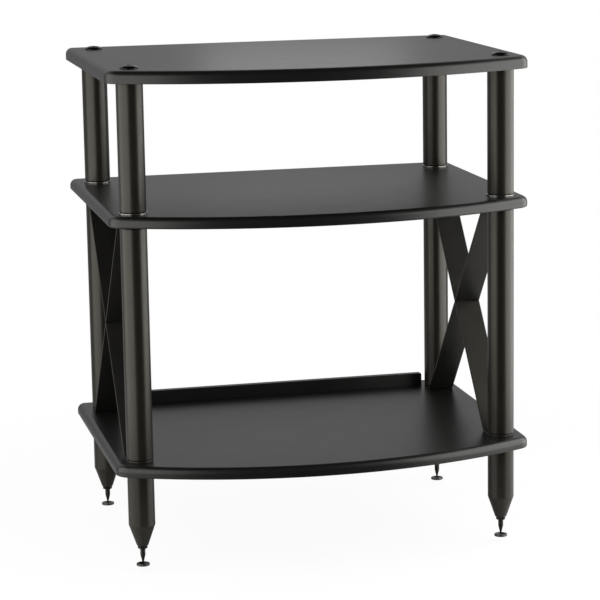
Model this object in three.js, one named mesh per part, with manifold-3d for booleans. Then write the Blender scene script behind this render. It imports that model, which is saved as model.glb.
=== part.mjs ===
// Open audio equipment rack: three bowed shelves on round pillars, braced at both sides by crossed strips,
// standing on cone feet with levelling spikes and floor discs.
// Millimetres. +Z is up, +X is right and the front faces -Y. The origin is on the floor, under the middle of
// the shelves.

import * as THREE from 'three';
import { mergeVertices } from 'three/addons/utils/BufferGeometryUtils.js';
import Module from 'manifold-3d';

const wasm = await Module();
wasm.setup();

// Shelves: one plan for all three, with a straight back and sides and one arc across the front
const SHELF_WIDTH = 640;
const SHELF_DEPTH = 516;
const FRONT_BOW = 80;
const FRONT_CORNER_RADIUS = 28;
const BACK_CORNER_RADIUS = 12;
const TOP_EDGE_RADIUS = 10;
const TOP_BOARD = { thickness: 19, lowerEdgeRadius: 1 };
const MIDDLE_BOARD = { thickness: 17, lowerEdgeRadius: 3 };
const BOTTOM_BOARD = { thickness: 17, lowerEdgeRadius: 1.5 };

// Part of each upper face that is clear of bolts, washers, tabs and rail
const CLEAR_HALF_WIDTH = 250;
const CLEAR_FRONT_Y = -170;
const CLEAR_BACK_Y = 190;

// Pillars: steel tube with a threaded plate welded into each end
const PILLAR_SPACING_X = 563;
const PILLAR_SPACING_Y = 354;
const BACK_PILLAR_INSET = 57;
const PILLAR_RADIUS = 20;
const PILLAR_WALL = 2;
const PILLAR_END_PLATE = 8;
const PILLAR_END_CHAMFER = 1.8;
const LOWER_PILLAR_LENGTH = 350;
const UPPER_PILLAR_LENGTH = 191;

// Large thread of the bolts and studs, and small thread of the spikes
const STUD_RADIUS = 5;
const STUD_HOLE_RADIUS = 5.5;
const SPIKE_THREAD_RADIUS = 4;
const SPIKE_HOLE_RADIUS = 4.5;
const THREAD_CHAMFER = 0.8;
const MIDDLE_STUD_LENGTH = 40;
const BOTTOM_STUD_LENGTH = 50;
const STUD_PROTRUSION = 1;

// Domed bolts on the top shelf
const BOLT_HEAD_RADIUS = 13.75;
const BOLT_HEAD_RIM = 0.4;
const BOLT_HEAD_HEIGHT = 5.8;
const BOLT_SHANK_LENGTH = 30;
const BOLT_SOCKET_ACROSS_FLATS = 6;
const BOLT_SOCKET_FLOOR = 1.6;

// Polished washers between the middle shelf and the upper pillars
const WASHER_RADIUS = 21.7;
const WASHER_THICKNESS = 2;
const WASHER_CHAMFER = 0.4;

// Feet, measured up from the floor
const FOOT_BASE_HEIGHT = 31.5;
const FOOT_CONE_HEIGHT = 32.5;
const FOOT_CYLINDER_HEIGHT = 81;
const FOOT_BASE_RADIUS = 8.7;
const FOOT_STUD_BORE_DEPTH = 24;
const FOOT_SPIKE_BORE_DEPTH = 34;

// Spike, lock nut and floor disc
const SPIKE_TIP_HEIGHT = 1.5;
const SPIKE_CONE_LENGTH = 16;
const SPIKE_THREAD_LENGTH = 35;
const LOCK_NUT_ACROSS_FLATS = 13;
const LOCK_NUT_HEIGHT = 5;
const DISC_RADIUS = 10;
const DISC_THICKNESS = 3;
const DISC_EDGE_CHAMFER = 0.5;
const DISC_RIM_INNER_RADIUS = 6.5;
const DISC_RECESS_RADIUS = 5;
const DISC_RECESS_FLOOR = 1.2;

// Brace strips: flat bar, folded to a tab at each end that is clamped by a pillar
const STRIP_WIDTH = 40;
const STRIP_THICKNESS = 3;
const STRIP_BEND_RADIUS = 3.5;
const STRIP_BEND_STEPS = 3;
const TAB_REACH = 26;
const SLOT_CLEARANCE = 0.3;

// Rail along the back of the bottom shelf, with the screws that hold it from below
const RAIL_FRONT_Y = 215;
const RAIL_LENGTH = 519;
const RAIL_HEIGHT = 20;
const RAIL_THICKNESS = 12;
const RAIL_CORNER_RADIUS = 2.5;
const RAIL_BORE_RADIUS = 2.4;
const RAIL_BORE_DEPTH = 15;
const SCREW_POSITIONS = { left: -200, middle: 0, right: 200 };
const SCREW_LENGTH = 30;
const SCREW_RADIUS = 2;
const SCREW_HEAD_RADIUS = 4.2;
const SCREW_HEAD_HEIGHT = 2.4;
const SCREW_HOLE_RADIUS = 2.5;
const SCREW_SINK_RADIUS = 4.9;
const SCREW_HEAD_RECESS = 0.3;

// How far a cutter runs past the faces that it cuts
const OVERRUN = 1;

// Fineness of round shapes
const ROUND = 24;
const SMALL_ROUND = 16;
const HOLE_ROUND = 12;
const FRONT_CORNER_STEPS = 6;
const CORNER_STEPS = 4;
const BOW_STEPS = 24;
const TOP_EDGE_STEPS = 4;
const LOWER_EDGE_STEPS = 2;
const DOME_STEPS = 5;

// Heights of the stack, each piece resting on the one below
const bottomShelfZ = FOOT_BASE_HEIGHT + FOOT_CONE_HEIGHT + FOOT_CYLINDER_HEIGHT;
const lowerTabZ = bottomShelfZ + BOTTOM_BOARD.thickness;
const lowerPillarZ = lowerTabZ + STRIP_THICKNESS;
const upperTabZ = lowerPillarZ + LOWER_PILLAR_LENGTH;
const middleShelfZ = upperTabZ + STRIP_THICKNESS;
const washerZ = middleShelfZ + MIDDLE_BOARD.thickness;
const upperPillarZ = washerZ + WASHER_THICKNESS;
const topShelfZ = upperPillarZ + UPPER_PILLAR_LENGTH;
const topFaceZ = topShelfZ + TOP_BOARD.thickness;

// Pillar axes in plan
const pillarX = PILLAR_SPACING_X / 2;
const backPillarY = SHELF_DEPTH / 2 - BACK_PILLAR_INSET;
const frontPillarY = backPillarY - PILLAR_SPACING_Y;
const middleY = (backPillarY + frontPillarY) / 2;
const CORNERS = {
  front_left: { x: -pillarX, y: frontPillarY },
  front_right: { x: pillarX, y: frontPillarY },
  back_left: { x: -pillarX, y: backPillarY },
  back_right: { x: pillarX, y: backPillarY },
};
const screwY = RAIL_FRONT_Y + RAIL_THICKNESS / 2;

// Finishes
const blackBoard = new THREE.MeshStandardMaterial({ color: 0x262626, roughness: 0.42, metalness: 0 });
const blackTube = new THREE.MeshStandardMaterial({ color: 0x34332f, roughness: 0.38, metalness: 0.6 });
const blackStrip = new THREE.MeshStandardMaterial({ color: 0x1c1c1c, roughness: 0.5, metalness: 0.3 });
const polishedSteel = new THREE.MeshStandardMaterial({ color: 0xc9c9c6, roughness: 0.12, metalness: 1 });
const glossBlack = new THREE.MeshStandardMaterial({ color: 0x121212, roughness: 0.15, metalness: 0.4 });
const blackSteel = new THREE.MeshStandardMaterial({ color: 0x2a2a2a, roughness: 0.4, metalness: 0.8 });
const zincSteel = new THREE.MeshStandardMaterial({ color: 0x9a9a96, roughness: 0.4, metalness: 0.9 });

const rack = new THREE.Group();

function addPiece(name, geometry, material, x, y, z) {
  const mesh = new THREE.Mesh(geometry, material);
  mesh.name = name;
  mesh.position.set(x, y, z);
  rack.add(mesh);
}

// Solid of revolution about Z. The profile is a list of [radius, height] with the solid on its left.
function turned(profile, segments) {
  const points = profile.map(([radius, height]) => new THREE.Vector2(radius, height));
  return new THREE.LatheGeometry(points, segments).rotateX(Math.PI / 2);
}

// Closed mesh to a solid for cutting
function toSolid(geometry) {
  const bare = geometry.clone();
  bare.deleteAttribute('normal');
  bare.deleteAttribute('uv');
  const merged = mergeVertices(bare);
  const corners = merged.index.array;
  const triVerts = [];
  for (let i = 0; i < corners.length; i += 3) {
    const [a, b, c] = corners.slice(i, i + 3);
    if (a !== b && b !== c && c !== a) triVerts.push(a, b, c);
  }
  return new wasm.Manifold(new wasm.Mesh({
    numProp: 3,
    vertProperties: merged.attributes.position.array,
    triVerts: Uint32Array.from(triVerts),
  }));
}

// Solid back to a mesh
function toGeometry(solid) {
  const { vertProperties, triVerts } = solid.getMesh();
  const geometry = new THREE.BufferGeometry();
  geometry.setAttribute('position', new THREE.BufferAttribute(vertProperties, 3));
  geometry.setIndex(new THREE.BufferAttribute(triVerts, 1));
  geometry.computeVertexNormals();
  return geometry;
}

// Upright cylinder centred on (x, y, z), as a cutter
function cylinderCutter(radius, height, segments, x, y, z) {
  const geometry = new THREE.CylinderGeometry(radius, radius, height, segments);
  return toSolid(geometry.rotateX(Math.PI / 2).translate(x, y, z));
}

function arc(centre, radius, start, end, steps) {
  const points = [];
  for (let i = 0; i <= steps; i++) {
    const angle = start + (end - start) * i / steps;
    points.push(new THREE.Vector2(centre.x + radius * Math.cos(angle), centre.y + radius * Math.sin(angle)));
  }
  return points;
}

// Shelf outline, anticlockwise, drawn in by an inset. Each arc keeps its centre, so the insets run parallel.
function shelfOutline(inset) {
  const halfWidth = SHELF_WIDTH / 2;
  const halfDepth = SHELF_DEPTH / 2;
  const bowRadius = (halfWidth ** 2 + FRONT_BOW ** 2) / (2 * FRONT_BOW);
  const bowCentre = { x: 0, y: bowRadius - halfDepth };
  const backX = halfWidth - BACK_CORNER_RADIUS;
  const backY = halfDepth - BACK_CORNER_RADIUS;
  const frontX = halfWidth - FRONT_CORNER_RADIUS;
  const frontY = bowCentre.y - Math.sqrt((bowRadius - FRONT_CORNER_RADIUS) ** 2 - frontX ** 2);
  const slant = Math.atan2(bowCentre.y - frontY, frontX);
  const backRadius = BACK_CORNER_RADIUS - inset;
  const frontRadius = FRONT_CORNER_RADIUS - inset;
  return [
    ...arc({ x: backX, y: backY }, backRadius, 0, Math.PI / 2, CORNER_STEPS),
    ...arc({ x: -backX, y: backY }, backRadius, Math.PI / 2, Math.PI, CORNER_STEPS),
    ...arc({ x: -frontX, y: frontY }, frontRadius, Math.PI, Math.PI + slant, FRONT_CORNER_STEPS),
    ...arc(bowCentre, bowRadius - inset, Math.PI + slant, 2 * Math.PI - slant, BOW_STEPS).slice(1, -1),
    ...arc({ x: frontX, y: frontY }, frontRadius, 2 * Math.PI - slant, 2 * Math.PI, FRONT_CORNER_STEPS),
  ];
}

// Stack of outlines from the lower to the upper face of a board, with both of its long edges rounded
function boardRings(board) {
  const { thickness, lowerEdgeRadius } = board;
  const rings = [];
  for (let i = 0; i <= LOWER_EDGE_STEPS; i++) {
    const angle = (Math.PI / 2) * (1 - i / LOWER_EDGE_STEPS);
    const inset = lowerEdgeRadius * (1 - Math.cos(angle));
    rings.push({ outline: shelfOutline(inset), height: lowerEdgeRadius * (1 - Math.sin(angle)) });
  }
  for (let i = 0; i <= TOP_EDGE_STEPS; i++) {
    const angle = (Math.PI / 2) * (i / TOP_EDGE_STEPS);
    const inset = TOP_EDGE_RADIUS * (1 - Math.cos(angle));
    rings.push({ outline: shelfOutline(inset), height: thickness + TOP_EDGE_RADIUS * (Math.sin(angle) - 1) });
  }
  return rings;
}

// Rings of a hole, clockwise, from the lower to the upper face. The profile is a list of [radius, height].
function holeRings(x, y, profile) {
  return profile.map(([radius, height]) => ({
    outline: arc({ x, y }, radius, 0, -2 * Math.PI, HOLE_ROUND).slice(0, -1),
    height,
  }));
}

// Closed mesh between stacks of rings: an outer stack, and one stack for each hole through it. The clear part
// of the upper face is two triangles of its own, so that what is set down there has a whole face under it.
function ringSolid(outer, holes) {
  const positions = [];
  const triangles = [];
  const lower = [];
  const upper = [];
  const place = (outline, height) => outline.forEach((p) => positions.push(p.x, p.y, height));
  for (const stack of [outer, ...holes]) {
    const first = positions.length / 3;
    const count = stack[0].outline.length;
    for (const { outline, height } of stack) place(outline, height);
    for (let ring = 0; ring < stack.length - 1; ring++) {
      for (let i = 0; i < count; i++) {
        const a = first + ring * count + i;
        const b = first + ring * count + (i + 1) % count;
        triangles.push(a, b, b + count, a, b + count, a + count);
      }
    }
    for (let i = 0; i < count; i++) {
      lower.push(first + i);
      upper.push(first + (stack.length - 1) * count + i);
    }
  }
  const clearArea = [
    new THREE.Vector2(-CLEAR_HALF_WIDTH, CLEAR_FRONT_Y),
    new THREE.Vector2(-CLEAR_HALF_WIDTH, CLEAR_BACK_Y),
    new THREE.Vector2(CLEAR_HALF_WIDTH, CLEAR_BACK_Y),
    new THREE.Vector2(CLEAR_HALF_WIDTH, CLEAR_FRONT_Y),
  ];
  const clear = clearArea.map((_, i) => positions.length / 3 + i);
  place(clearArea, outer[outer.length - 1].height);
  upper.push(...clear);
  triangles.push(clear[0], clear[3], clear[2], clear[0], clear[2], clear[1]);

  const { triangulateShape } = THREE.ShapeUtils;
  const firstRing = (stack) => stack[0].outline;
  const lastRing = (stack) => stack[stack.length - 1].outline;
  for (const [a, b, c] of triangulateShape(firstRing(outer), holes.map(firstRing))) {
    triangles.push(lower[c], lower[b], lower[a]);
  }
  for (const [a, b, c] of triangulateShape(lastRing(outer), [...holes.map(lastRing), clearArea])) {
    triangles.push(upper[a], upper[b], upper[c]);
  }
  const geometry = new THREE.BufferGeometry();
  geometry.setAttribute('position', new THREE.Float32BufferAttribute(positions, 3));
  geometry.setIndex(triangles);
  geometry.computeVertexNormals();
  return geometry;
}

function boltHoles(board) {
  const profile = [[STUD_HOLE_RADIUS, 0], [STUD_HOLE_RADIUS, board.thickness]];
  return Object.values(CORNERS).map(({ x, y }) => holeRings(x, y, profile));
}

function screwHoles(board) {
  const profile = [
    [SCREW_SINK_RADIUS, 0],
    [SCREW_HOLE_RADIUS, SCREW_HEAD_HEIGHT + SCREW_HEAD_RECESS],
    [SCREW_HOLE_RADIUS, board.thickness],
  ];
  return Object.values(SCREW_POSITIONS).map((x) => holeRings(x, screwY, profile));
}

function addShelves() {
  const bottomHoles = [...boltHoles(BOTTOM_BOARD), ...screwHoles(BOTTOM_BOARD)];
  addPiece('bottom_shelf', ringSolid(boardRings(BOTTOM_BOARD), bottomHoles), blackBoard, 0, 0, bottomShelfZ);
  const middle = ringSolid(boardRings(MIDDLE_BOARD), boltHoles(MIDDLE_BOARD));
  addPiece('middle_shelf', middle, blackBoard, 0, 0, middleShelfZ);
  addPiece('top_shelf', ringSolid(boardRings(TOP_BOARD), boltHoles(TOP_BOARD)), blackBoard, 0, 0, topShelfZ);
}

// Tube with an end plate welded into each end, each with a threaded hole
function pillarGeometry(length) {
  const insideRadius = PILLAR_RADIUS - PILLAR_WALL;
  const chamferedRadius = PILLAR_RADIUS - PILLAR_END_CHAMFER;
  return turned([
    [STUD_HOLE_RADIUS, 0],
    [chamferedRadius, 0],
    [PILLAR_RADIUS, PILLAR_END_CHAMFER],
    [PILLAR_RADIUS, length - PILLAR_END_CHAMFER],
    [chamferedRadius, length],
    [STUD_HOLE_RADIUS, length],
    [STUD_HOLE_RADIUS, length - PILLAR_END_PLATE],
    [insideRadius, length - PILLAR_END_PLATE],
    [insideRadius, PILLAR_END_PLATE],
    [STUD_HOLE_RADIUS, PILLAR_END_PLATE],
    [STUD_HOLE_RADIUS, 0],
  ], ROUND);
}

// Threaded rod with chamfered ends, standing on its lower end
function studGeometry(length) {
  return turned([
    [0, 0],
    [STUD_RADIUS - THREAD_CHAMFER, 0],
    [STUD_RADIUS, THREAD_CHAMFER],
    [STUD_RADIUS, length - THREAD_CHAMFER],
    [STUD_RADIUS - THREAD_CHAMFER, length],
    [0, length],
  ], HOLE_ROUND);
}

function washerGeometry() {
  return turned([
    [STUD_HOLE_RADIUS, 0],
    [WASHER_RADIUS - WASHER_CHAMFER, 0],
    [WASHER_RADIUS, WASHER_CHAMFER],
    [WASHER_RADIUS, WASHER_THICKNESS - WASHER_CHAMFER],
    [WASHER_RADIUS - WASHER_CHAMFER, WASHER_THICKNESS],
    [STUD_HOLE_RADIUS, WASHER_THICKNESS],
    [STUD_HOLE_RADIUS, 0],
  ], ROUND);
}

function hexagon(acrossFlats) {
  const radius = acrossFlats / Math.sqrt(3);
  return new THREE.Shape(arc({ x: 0, y: 0 }, radius, 0, 2 * Math.PI, 6).slice(0, -1));
}

// Bolt with a low domed head, a half ellipse in section, and a hexagon socket. Height 0 is the underside of
// the head.
function topBoltGeometry() {
  const profile = [
    [0, -BOLT_SHANK_LENGTH],
    [STUD_RADIUS - THREAD_CHAMFER, -BOLT_SHANK_LENGTH],
    [STUD_RADIUS, THREAD_CHAMFER - BOLT_SHANK_LENGTH],
    [STUD_RADIUS, 0],
    [BOLT_HEAD_RADIUS, 0],
  ];
  const rise = BOLT_HEAD_HEIGHT - BOLT_HEAD_RIM;
  for (let i = 0; i < DOME_STEPS; i++) {
    const angle = (Math.PI / 2) * (i / DOME_STEPS);
    profile.push([BOLT_HEAD_RADIUS * Math.cos(angle), BOLT_HEAD_RIM + rise * Math.sin(angle)]);
  }
  profile.push([0, BOLT_HEAD_HEIGHT]);
  const socketDepth = BOLT_HEAD_HEIGHT - BOLT_SOCKET_FLOOR + OVERRUN;
  const socket = new THREE.ExtrudeGeometry(hexagon(BOLT_SOCKET_ACROSS_FLATS), {
    depth: socketDepth,
    bevelEnabled: false,
  });
  socket.translate(0, 0, BOLT_SOCKET_FLOOR);
  return toGeometry(toSolid(turned(profile, ROUND)).subtract(toSolid(socket)));
}

// Cylinder over a cone, with a threaded bore for the stud above and one for the spike below
function footGeometry() {
  const height = FOOT_CONE_HEIGHT + FOOT_CYLINDER_HEIGHT;
  return turned([
    [0, FOOT_SPIKE_BORE_DEPTH],
    [SPIKE_HOLE_RADIUS, FOOT_SPIKE_BORE_DEPTH],
    [SPIKE_HOLE_RADIUS, 0],
    [FOOT_BASE_RADIUS, 0],
    [PILLAR_RADIUS, FOOT_CONE_HEIGHT],
    [PILLAR_RADIUS, height - PILLAR_END_CHAMFER],
    [PILLAR_RADIUS - PILLAR_END_CHAMFER, height],
    [STUD_HOLE_RADIUS, height],
    [STUD_HOLE_RADIUS, height - FOOT_STUD_BORE_DEPTH],
    [0, height - FOOT_STUD_BORE_DEPTH],
  ], ROUND);
}

// Point, cone and threaded shank. Height 0 is the point.
function spikeGeometry() {
  const length = SPIKE_CONE_LENGTH + SPIKE_THREAD_LENGTH;
  return turned([
    [0, 0],
    [SPIKE_THREAD_RADIUS, SPIKE_CONE_LENGTH],
    [SPIKE_THREAD_RADIUS, length - THREAD_CHAMFER],
    [SPIKE_THREAD_RADIUS - THREAD_CHAMFER, length],
    [0, length],
  ], SMALL_ROUND);
}

function lockNutGeometry() {
  const outline = hexagon(LOCK_NUT_ACROSS_FLATS);
  const hole = arc({ x: 0, y: 0 }, SPIKE_HOLE_RADIUS, 0, -2 * Math.PI, SMALL_ROUND).slice(0, -1);
  outline.holes.push(new THREE.Path(hole));
  return new THREE.ExtrudeGeometry(outline, { depth: LOCK_NUT_HEIGHT, bevelEnabled: false });
}

// Disc with a raised rim round the hollow that takes the point
function floorDiscGeometry() {
  return turned([
    [0, 0],
    [DISC_RADIUS - DISC_EDGE_CHAMFER, 0],
    [DISC_RADIUS, DISC_EDGE_CHAMFER],
    [DISC_RADIUS, DISC_THICKNESS - DISC_EDGE_CHAMFER],
    [DISC_RADIUS - DISC_EDGE_CHAMFER, DISC_THICKNESS],
    [DISC_RIM_INNER_RADIUS, DISC_THICKNESS],
    [DISC_RECESS_RADIUS, DISC_RECESS_FLOOR],
    [0, DISC_RECESS_FLOOR],
  ], ROUND);
}

// One column at each corner: disc, spike, nut, foot, stud, pillar, stud, washer, pillar and bolt
function addColumns() {
  const bottomStudZ = lowerPillarZ + PILLAR_END_PLATE + STUD_PROTRUSION - BOTTOM_STUD_LENGTH;
  const middleStudZ = (upperTabZ + upperPillarZ - MIDDLE_STUD_LENGTH) / 2;
  const lockNutZ = FOOT_BASE_HEIGHT - LOCK_NUT_HEIGHT;
  for (const [corner, { x, y }] of Object.entries(CORNERS)) {
    const addPart = (name, geometry, material, z) => {
      addPiece(`${corner}_${name}`, geometry, material, x, y, z);
    };
    addPart('floor_disc', floorDiscGeometry(), blackSteel, 0);
    addPart('spike', spikeGeometry(), blackSteel, SPIKE_TIP_HEIGHT);
    addPart('lock_nut', lockNutGeometry(), blackSteel, lockNutZ);
    addPart('foot', footGeometry(), blackTube, FOOT_BASE_HEIGHT);
    addPart('bottom_stud', studGeometry(BOTTOM_STUD_LENGTH), zincSteel, bottomStudZ);
    addPart('lower_pillar', pillarGeometry(LOWER_PILLAR_LENGTH), blackTube, lowerPillarZ);
    addPart('middle_stud', studGeometry(MIDDLE_STUD_LENGTH), zincSteel, middleStudZ);
    addPart('washer', washerGeometry(), polishedSteel, washerZ);
    addPart('upper_pillar', pillarGeometry(UPPER_PILLAR_LENGTH), blackTube, upperPillarZ);
    addPart('top_bolt', topBoltGeometry(), glossBlack, topFaceZ);
  }
}

// Outline of a folded strip seen edge on, offset to both sides of its middle line, with round bends
function foldedOutline(corners) {
  const heading = (from, to) => Math.atan2(to.y - from.y, to.x - from.x);
  const aside = (point, angle, distance) => new THREE.Vector2(
    point.x - distance * Math.sin(angle),
    point.y + distance * Math.cos(angle),
  );
  const last = corners.length - 1;
  const stations = [{ point: corners[0], angle: heading(corners[0], corners[1]) }];
  for (let i = 1; i < last; i++) {
    const before = heading(corners[i - 1], corners[i]);
    const turn = heading(corners[i], corners[i + 1]) - before;
    const setback = STRIP_BEND_RADIUS * Math.tan(Math.abs(turn) / 2);
    const start = corners[i].clone().lerp(corners[i - 1], setback / corners[i].distanceTo(corners[i - 1]));
    const offset = STRIP_BEND_RADIUS * Math.sign(turn);
    const centre = aside(start, before, offset);
    for (let step = 0; step <= STRIP_BEND_STEPS; step++) {
      const angle = before + turn * step / STRIP_BEND_STEPS;
      stations.push({ point: aside(centre, angle, -offset), angle });
    }
  }
  stations.push({ point: corners[last], angle: heading(corners[last - 1], corners[last]) });
  const side = (distance) => stations.map(({ point, angle }) => aside(point, angle, distance));
  return [...side(-STRIP_THICKNESS / 2), ...side(STRIP_THICKNESS / 2).reverse()];
}

// What is cut off a tab to round its end about the pillar axis. The sign says which way the end points.
function tabEndCutter(axisY, z, sign) {
  const height = STRIP_THICKNESS + 2 * OVERRUN;
  const reach = PILLAR_RADIUS + 2 * OVERRUN;
  const block = new THREE.BoxGeometry(STRIP_WIDTH + 2 * OVERRUN, reach, height);
  block.translate(0, axisY + sign * reach / 2, z);
  return toSolid(block).subtract(cylinderCutter(PILLAR_RADIUS, height + 2 * OVERRUN, ROUND, 0, axisY, z));
}

// Strip from a tab under one lower pillar up to a tab over the other. A slot to half its width, on the side
// that slotSign gives, lets the crossing strip through.
function braceGeometry(lowY, highY, slotSign) {
  const rearward = Math.sign(highY - lowY);
  const lowZ = lowerTabZ + STRIP_THICKNESS / 2;
  const highZ = upperTabZ + STRIP_THICKNESS / 2;
  const overhang = rearward * (PILLAR_RADIUS + OVERRUN);
  const corners = [
    new THREE.Vector2(lowY - overhang, lowZ),
    new THREE.Vector2(lowY + rearward * TAB_REACH, lowZ),
    new THREE.Vector2(highY - rearward * TAB_REACH, highZ),
    new THREE.Vector2(highY + overhang, highZ),
  ];
  const flat = new THREE.ExtrudeGeometry(new THREE.Shape(foldedOutline(corners)), {
    depth: STRIP_WIDTH,
    bevelEnabled: false,
  });
  flat.translate(0, 0, -STRIP_WIDTH / 2);
  const [alongX, alongY, alongZ] = [0, 1, 2].map((axis) => new THREE.Vector3().setComponent(axis, 1));
  flat.applyMatrix4(new THREE.Matrix4().makeBasis(alongY, alongZ, alongX));

  const crossingAngle = Math.atan2(highZ - lowZ, corners[1].x - corners[2].x);
  const slotDepth = (STRIP_WIDTH + SLOT_CLEARANCE) / 2;
  const slotWidth = STRIP_THICKNESS + 2 * SLOT_CLEARANCE;
  const slot = new THREE.BoxGeometry(slotDepth + OVERRUN, 4 * STRIP_THICKNESS, slotWidth);
  slot.rotateX(crossingAngle);
  slot.translate(slotSign * (slotDepth + OVERRUN - SLOT_CLEARANCE) / 2, middleY, (lowZ + highZ) / 2);

  const holeHeight = STRIP_THICKNESS + 2 * OVERRUN;
  const cutters = [
    tabEndCutter(lowY, lowZ, -rearward),
    tabEndCutter(highY, highZ, rearward),
    cylinderCutter(STUD_HOLE_RADIUS, holeHeight, HOLE_ROUND, 0, lowY, lowZ),
    cylinderCutter(STUD_HOLE_RADIUS, holeHeight, HOLE_ROUND, 0, highY, highZ),
    toSolid(slot),
  ];
  return toGeometry(cutters.reduce((solid, cutter) => solid.subtract(cutter), toSolid(flat)));
}

function addBraces() {
  for (const [side, sign] of [['left', -1], ['right', 1]]) {
    const rearHigh = braceGeometry(frontPillarY, backPillarY, sign);
    const frontHigh = braceGeometry(backPillarY, frontPillarY, -sign);
    addPiece(`${side}_brace_rear_high`, rearHigh, blackStrip, sign * pillarX, 0, 0);
    addPiece(`${side}_brace_front_high`, frontHigh, blackStrip, sign * pillarX, 0, 0);
  }
}

// Upright board with rounded upper corners and blind holes for its screws
function railGeometry() {
  const half = RAIL_LENGTH / 2;
  const cornerX = half - RAIL_CORNER_RADIUS;
  const cornerZ = RAIL_HEIGHT - RAIL_CORNER_RADIUS;
  const outline = [
    new THREE.Vector2(-half, 0),
    new THREE.Vector2(half, 0),
    ...arc({ x: cornerX, y: cornerZ }, RAIL_CORNER_RADIUS, 0, Math.PI / 2, CORNER_STEPS),
    ...arc({ x: -cornerX, y: cornerZ }, RAIL_CORNER_RADIUS, Math.PI / 2, Math.PI, CORNER_STEPS),
  ];
  const board = new THREE.ExtrudeGeometry(new THREE.Shape(outline), {
    depth: RAIL_THICKNESS,
    bevelEnabled: false,
  });
  board.rotateX(Math.PI / 2).translate(0, RAIL_THICKNESS / 2, 0);
  const bores = Object.values(SCREW_POSITIONS).map((x) => (
    cylinderCutter(RAIL_BORE_RADIUS, 2 * RAIL_BORE_DEPTH, HOLE_ROUND, x, 0, 0)
  ));
  return toGeometry(bores.reduce((solid, bore) => solid.subtract(bore), toSolid(board)));
}

// Countersunk screw, point up. Height 0 is the face of its head.
function screwGeometry() {
  return turned([
    [0, 0],
    [SCREW_HEAD_RADIUS, 0],
    [SCREW_RADIUS, SCREW_HEAD_HEIGHT],
    [SCREW_RADIUS, SCREW_LENGTH - 2 * SCREW_RADIUS],
    [0, SCREW_LENGTH],
  ], HOLE_ROUND);
}

function addRail() {
  addPiece('rear_rail', railGeometry(), blackBoard, 0, screwY, lowerTabZ);
  for (const [place, x] of Object.entries(SCREW_POSITIONS)) {
    addPiece(`rail_screw_${place}`, screwGeometry(), zincSteel, x, screwY, bottomShelfZ + SCREW_HEAD_RECESS);
  }
}

addShelves();
addColumns();
addBraces();
addRail();

export default rack;
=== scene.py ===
import math

import bmesh
import bpy
import numpy as np
from mathutils import Matrix, Vector
from mathutils.geometry import delaunay_2d_cdt


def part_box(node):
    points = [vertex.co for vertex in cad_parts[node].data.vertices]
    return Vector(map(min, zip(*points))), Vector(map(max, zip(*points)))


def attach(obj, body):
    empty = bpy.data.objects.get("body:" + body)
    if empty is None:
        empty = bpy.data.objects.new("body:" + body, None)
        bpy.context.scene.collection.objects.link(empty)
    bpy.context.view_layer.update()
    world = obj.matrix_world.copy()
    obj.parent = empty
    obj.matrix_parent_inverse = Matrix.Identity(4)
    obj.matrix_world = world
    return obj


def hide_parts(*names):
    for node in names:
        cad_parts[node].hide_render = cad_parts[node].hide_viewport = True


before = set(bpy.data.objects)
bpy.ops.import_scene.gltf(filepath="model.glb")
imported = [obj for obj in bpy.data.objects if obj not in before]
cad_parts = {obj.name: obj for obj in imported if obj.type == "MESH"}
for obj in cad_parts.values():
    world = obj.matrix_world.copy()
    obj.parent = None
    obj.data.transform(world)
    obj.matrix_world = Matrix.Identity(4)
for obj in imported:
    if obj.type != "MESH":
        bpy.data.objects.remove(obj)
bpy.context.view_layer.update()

TAU = 2 * math.pi
MM = 0.001

# Fineness of the surfaces
COLUMNS = 96
THREAD_COLUMNS = 36
CORNER_STEPS = 14
BOW_STEPS = 96
TOP_EDGE_STEPS = 12
FILLET_STEPS = 5
FOLD_STEPS = 8
HOLE_COLUMNS = 36
SPHERE_STEPS = 10
SPARE_TURNS = 2
BEVEL_SEGMENTS = 3
# Edges sharper than this keep a crease, and of those only the ones sharper than the second angle are bevelled
CREASE_ANGLE = 35
BEVEL_ANGLE = 60
# Points closer than this are one, in metres
WELD_DISTANCE = 1e-6

# Plan of the shelves, in millimetres, as the CAD has it
FRONT_BOW = 80
FRONT_CORNER_RADIUS = 28
BACK_CORNER_RADIUS = 12
TOP_EDGE_RADIUS = 10
LOWER_EDGE_RADII = {"top_shelf": 1, "middle_shelf": 3, "bottom_shelf": 1.5}
STUD_HOLE_RADIUS = 5.5
SCREW_HOLE_RADIUS = 2.5
SCREW_SINK_RADIUS = 4.9
SCREW_SINK_DEPTH = 2.7
SCREWS = ("left", "middle", "right")

# Turned and bought-in parts. A break is the small rounding of a bore's or an end's edge.
EDGE_BREAK = 0.3
TUBE_WALL = 2
TUBE_END_PLATE = 8
TUBE_END_RADIUS = 1.8
FOOT_CONE_HEIGHT = 32.5
FOOT_BASE_RADIUS = 8.7
FOOT_BASE_ROUND = 0.8
FOOT_SHOULDER_ROUND = 1.5
FOOT_STUD_BORE = 24
FOOT_SPIKE_BORE = 34
DRILL_POINT = 2.5
SPIKE_CONE_LENGTH = 16
SPIKE_TIP_RADIUS = 0.5
SPIKE_NECK = 0.6
SPIKE_BORE_RADIUS = 4.5
SPIKE_PITCH = 1.25
SPIKE_THREAD_DEPTH = 0.3
STUD_PITCH = 1.5
STUD_THREAD_DEPTH = 0.9
THREAD_END_SINK = 0.1
NUT_ACROSS_FLATS = 13
NUT_CHAMFER_ANGLE = 30
NUT_BORE_BEVEL = 0.5
DISC_RIM_INNER_RADIUS = 6.5
DISC_RECESS_RADIUS = 4.2
DISC_RECESS_FLOOR = 1.25
DISC_RECESS_RISE = 0.3
WASHER_ROUND = 0.5
BOLT_SHANK_RADIUS = 5
BOLT_RIM = 0.4
BOLT_SOCKET_ACROSS_FLATS = 6
BOLT_SOCKET_FLOOR = 1.6
BOLT_UNDERCUT = 0.3
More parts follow.
